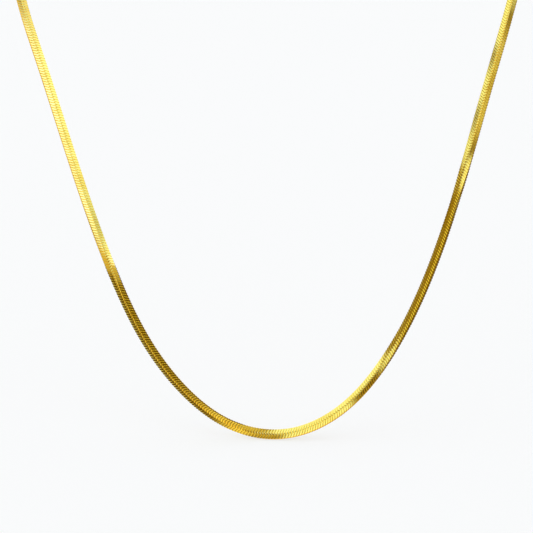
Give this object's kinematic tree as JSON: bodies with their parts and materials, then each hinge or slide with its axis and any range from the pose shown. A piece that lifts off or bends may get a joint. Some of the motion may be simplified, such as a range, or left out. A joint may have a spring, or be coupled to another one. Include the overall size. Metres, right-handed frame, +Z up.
{
  "type": "snake chain necklace",
  "caption": "Flat woven snake chain necklace hanging in a U, with a flat cap on each end and a plain ring clasp at the nape.",
  "frame": {"origin": "the nape, where the clasp and the end caps lie against the back of the neck: the middle of their inner side", "axes": "+Z up, -Y the way the wearer faces, +X to the wearer's left"},
  "size_m": [0.1094, 0.1039, 0.1163],
  "materials": {
    "woven_band": "polished yellow gold plate on fine brass links",
    "fittings": "polished yellow gold plate on soldered brass"
  },
  "bodies": {
    "root": {"snake_chain": "woven_band", "left_end_cap": "fittings", "right_end_cap": "fittings", "clasp": "fittings"}
  },
  "joints": []
}
